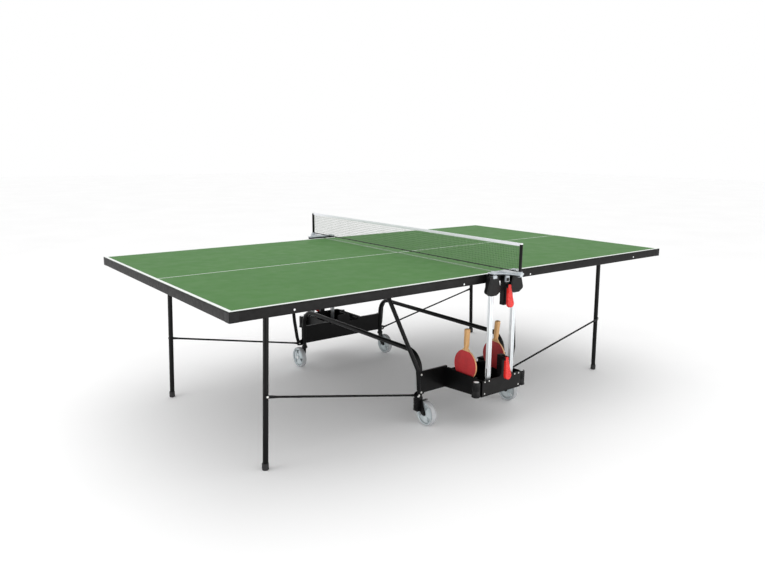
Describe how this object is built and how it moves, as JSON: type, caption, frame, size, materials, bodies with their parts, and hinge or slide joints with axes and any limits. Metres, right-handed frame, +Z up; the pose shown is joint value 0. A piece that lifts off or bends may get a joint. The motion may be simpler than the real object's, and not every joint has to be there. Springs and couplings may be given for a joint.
{
  "type": "ping pong table",
  "caption": "Rollaway table tennis table with two folding halves on a wheeled trolley, sprung release handles, a stretched net and bats stored in side trays.",
  "frame": {"origin": "on the floor under the middle of the net", "axes": "+X along the table towards the right half, +Y along the net away from the near side, +Z up"},
  "size_m": [2.74, 1.808, 0.9125],
  "materials": {
    "top_laminate": "matt green playing surface with white lines",
    "black_powder_coat": "satin black powder coat",
    "black_plastic": "moulded black plastic, fine grain",
    "foot_rubber": "black rubber",
    "zinc_steel": "zinc plated steel",
    "post_aluminium": "anodised extrusion",
    "bracket_grey": "silver grey moulding",
    "net_post_steel": "black powder coat",
    "net_mesh": "knotted net",
    "net_tape": "white woven tape",
    "net_cord": "black cord",
    "handle_red": "bright red moulding",
    "wheel_grey": "light grey moulding",
    "bat_wood": "plywood blade and turned handle scales",
    "bat_rubber": "deep red rubber sheet"
  },
  "bodies": {
    "trolley": {"left_trolley_frame": "black_powder_coat", "right_trolley_frame": "black_powder_coat", "near_back_plate": "black_powder_coat", "near_tray": "black_powder_coat", "near_end_panel": "black_powder_coat", "far_back_plate": "black_powder_coat", "far_tray": "black_powder_coat", "far_end_panel": "black_powder_coat", "corner_bumpers": "black_plastic", "tray_bolts": "zinc_steel", "near_bat_holders": "black_plastic", "far_bat_holders": "black_plastic", "posts": "post_aluminium", "post_caps": "black_plastic", "near_net_bracket": "bracket_grey", "far_net_bracket": "bracket_grey", "net_posts": "net_post_steel", "net_mesh": "net_mesh", "net_tape": "net_tape", "net_cord": "net_cord", "lock_housings": "black_plastic"},
    "left_heads": {"left_hinge_heads": "black_plastic"},
    "left_half": {"left_board": "top_laminate", "left_frame": "black_powder_coat", "left_corner_caps": "black_plastic", "left_hinge_pins": "zinc_steel", "left_axle_clamps": "black_plastic"},
    "left_legs": {"left_leg_frame": "black_powder_coat", "left_foot_caps": "foot_rubber"},
    "left_struts": {"left_strut_frame": "black_powder_coat"},
    "left_links": {"left_link_rods": "black_powder_coat", "left_rod_bolts": "zinc_steel"},
    "right_heads": {"right_hinge_heads": "black_plastic"},
    "right_half": {"right_board": "top_laminate", "right_frame": "black_powder_coat", "right_corner_caps": "black_plastic", "right_hinge_pins": "zinc_steel", "right_axle_clamps": "black_plastic"},
    "right_legs": {"right_leg_frame": "black_powder_coat", "right_foot_caps": "foot_rubber"},
    "right_struts": {"right_strut_frame": "black_powder_coat"},
    "right_links": {"right_link_rods": "black_powder_coat", "right_rod_bolts": "zinc_steel"},
    "near_upper_pull": {"near_upper_handle": "handle_red"},
    "near_lower_pull": {"near_lower_handle": "handle_red"},
    "near_left_caster": {"near_left_fork": "black_plastic"},
    "near_left_wheel": {"near_left_wheel": "wheel_grey"},
    "near_right_caster": {"near_right_fork": "black_plastic"},
    "near_right_wheel": {"near_right_wheel": "wheel_grey"},
    "far_upper_pull": {"far_upper_handle": "handle_red"},
    "far_lower_pull": {"far_lower_handle": "handle_red"},
    "far_left_caster": {"far_left_fork": "black_plastic"},
    "far_left_wheel": {"far_left_wheel": "wheel_grey"},
    "far_right_caster": {"far_right_fork": "black_plastic"},
    "far_right_wheel": {"far_right_wheel": "wheel_grey"},
    "left_bat": {"left_bat_wood": "bat_wood", "left_bat_rubbers": "bat_rubber"},
    "right_bat": {"right_bat_wood": "bat_wood", "right_bat_rubbers": "bat_rubber"}
  },
  "joints": [
    {"name": "left_head_slide", "type": "slide", "parent": "trolley", "child": "left_heads", "axis": [0, 0, -1], "range_m": [0, 0.4198]},
    {"name": "left_fold", "type": "hinge", "parent": "left_heads", "child": "left_half", "pos_m": [-0.077, 0, 0.743], "axis": [0, 1, 0], "range_deg": [0, 90]},
    {"name": "left_leg_hinge", "type": "hinge", "parent": "left_half", "child": "left_legs", "pos_m": [-1.105, 0, 0.733], "axis": [0, 1, 0], "range_deg": [-70.7, 0]},
    {"name": "left_strut_hinge", "type": "hinge", "parent": "left_half", "child": "left_struts", "pos_m": [-0.456, 0, 0.733], "axis": [0, 1, 0], "range_deg": [-53.7, 0]},
    {"name": "left_link_hinge", "type": "hinge", "parent": "trolley", "child": "left_links", "pos_m": [-0.318, 0, 0.157], "axis": [0, 1, 0], "range_deg": [0, 84.1]},
    {"name": "right_head_slide", "type": "slide", "parent": "trolley", "child": "right_heads", "axis": [0, 0, -1], "range_m": [0, 0.4198]},
    {"name": "right_fold", "type": "hinge", "parent": "right_heads", "child": "right_half", "pos_m": [0.077, 0, 0.743], "axis": [0, -1, 0], "range_deg": [0, 90]},
    {"name": "right_leg_hinge", "type": "hinge", "parent": "right_half", "child": "right_legs", "pos_m": [1.105, 0, 0.733], "axis": [0, -1, 0], "range_deg": [-70.7, 0]},
    {"name": "right_strut_hinge", "type": "hinge", "parent": "right_half", "child": "right_struts", "pos_m": [0.456, 0, 0.733], "axis": [0, -1, 0], "range_deg": [-53.7, 0]},
    {"name": "right_link_hinge", "type": "hinge", "parent": "trolley", "child": "right_links", "pos_m": [0.318, 0, 0.157], "axis": [0, -1, 0], "range_deg": [0, 84.1]},
    {"name": "near_upper_pull_hinge", "type": "hinge", "parent": "trolley", "child": "near_upper_pull", "pos_m": [0, -0.828, 0.705], "axis": [-1, 0, 0], "range_deg": [0, 25], "stiffness_Nm_per_rad": 0.2},
    {"name": "near_lower_pull_hinge", "type": "hinge", "parent": "trolley", "child": "near_lower_pull", "pos_m": [0, -0.833, 0.355], "axis": [-1, 0, 0], "range_deg": [0, 25], "stiffness_Nm_per_rad": 0.2},
    {"name": "near_left_caster_swivel", "type": "hinge", "parent": "trolley", "child": "near_left_caster", "pos_m": [-0.29, -0.542, 0.15], "axis": [0, 0, 1], "continuous": true},
    {"name": "near_left_wheel_spin", "type": "hinge", "parent": "near_left_caster", "child": "near_left_wheel", "pos_m": [-0.275, -0.578, 0.062], "axis": [1, 0, 0], "continuous": true},
    {"name": "near_right_caster_swivel", "type": "hinge", "parent": "trolley", "child": "near_right_caster", "pos_m": [0.29, -0.542, 0.15], "axis": [0, 0, 1], "continuous": true},
    {"name": "near_right_wheel_spin", "type": "hinge", "parent": "near_right_caster", "child": "near_right_wheel", "pos_m": [0.305, -0.578, 0.062], "axis": [1, 0, 0], "continuous": true},
    {"name": "far_upper_pull_hinge", "type": "hinge", "parent": "trolley", "child": "far_upper_pull", "pos_m": [0, 0.828, 0.705], "axis": [1, 0, 0], "range_deg": [0, 25], "stiffness_Nm_per_rad": 0.2},
    {"name": "far_lower_pull_hinge", "type": "hinge", "parent": "trolley", "child": "far_lower_pull", "pos_m": [0, 0.833, 0.355], "axis": [1, 0, 0], "range_deg": [0, 25], "stiffness_Nm_per_rad": 0.2},
    {"name": "far_left_caster_swivel", "type": "hinge", "parent": "trolley", "child": "far_left_caster", "pos_m": [-0.29, 0.542, 0.15], "axis": [0, 0, 1], "continuous": true},
    {"name": "far_left_wheel_spin", "type": "hinge", "parent": "far_left_caster", "child": "far_left_wheel", "pos_m": [-0.305, 0.578, 0.062], "axis": [1, 0, 0], "continuous": true},
    {"name": "far_right_caster_swivel", "type": "hinge", "parent": "trolley", "child": "far_right_caster", "pos_m": [0.29, 0.542, 0.15], "axis": [0, 0, 1], "continuous": true},
    {"name": "far_right_wheel_spin", "type": "hinge", "parent": "far_right_caster", "child": "far_right_wheel", "pos_m": [0.305, 0.506, 0.062], "axis": [1, 0, 0], "continuous": true},
    {"name": "left_bat_lift", "type": "slide", "parent": "trolley", "child": "left_bat", "axis": [0, -0.0262, 0.9997], "range_m": [0, 0.16]},
    {"name": "right_bat_lift", "type": "slide", "parent": "trolley", "child": "right_bat", "axis": [0, -0.0872, 0.9962], "range_m": [0, 0.16]}
  ],
  "couplings": [
    {"joint": "left_head_slide", "follows": "left_fold", "m_per_rad": 0.26713},
    {"joint": "left_leg_hinge", "follows": "left_fold", "ratio": -0.78441},
    {"joint": "left_strut_hinge", "follows": "left_fold", "ratio": -0.59525},
    {"joint": "left_link_hinge", "follows": "left_fold", "ratio": 0.93253},
    {"joint": "right_head_slide", "follows": "right_fold", "m_per_rad": 0.26713},
    {"joint": "right_leg_hinge", "follows": "right_fold", "ratio": -0.78441},
    {"joint": "right_strut_hinge", "follows": "right_fold", "ratio": -0.59525},
    {"joint": "right_link_hinge", "follows": "right_fold", "ratio": 0.93253}
  ]
}
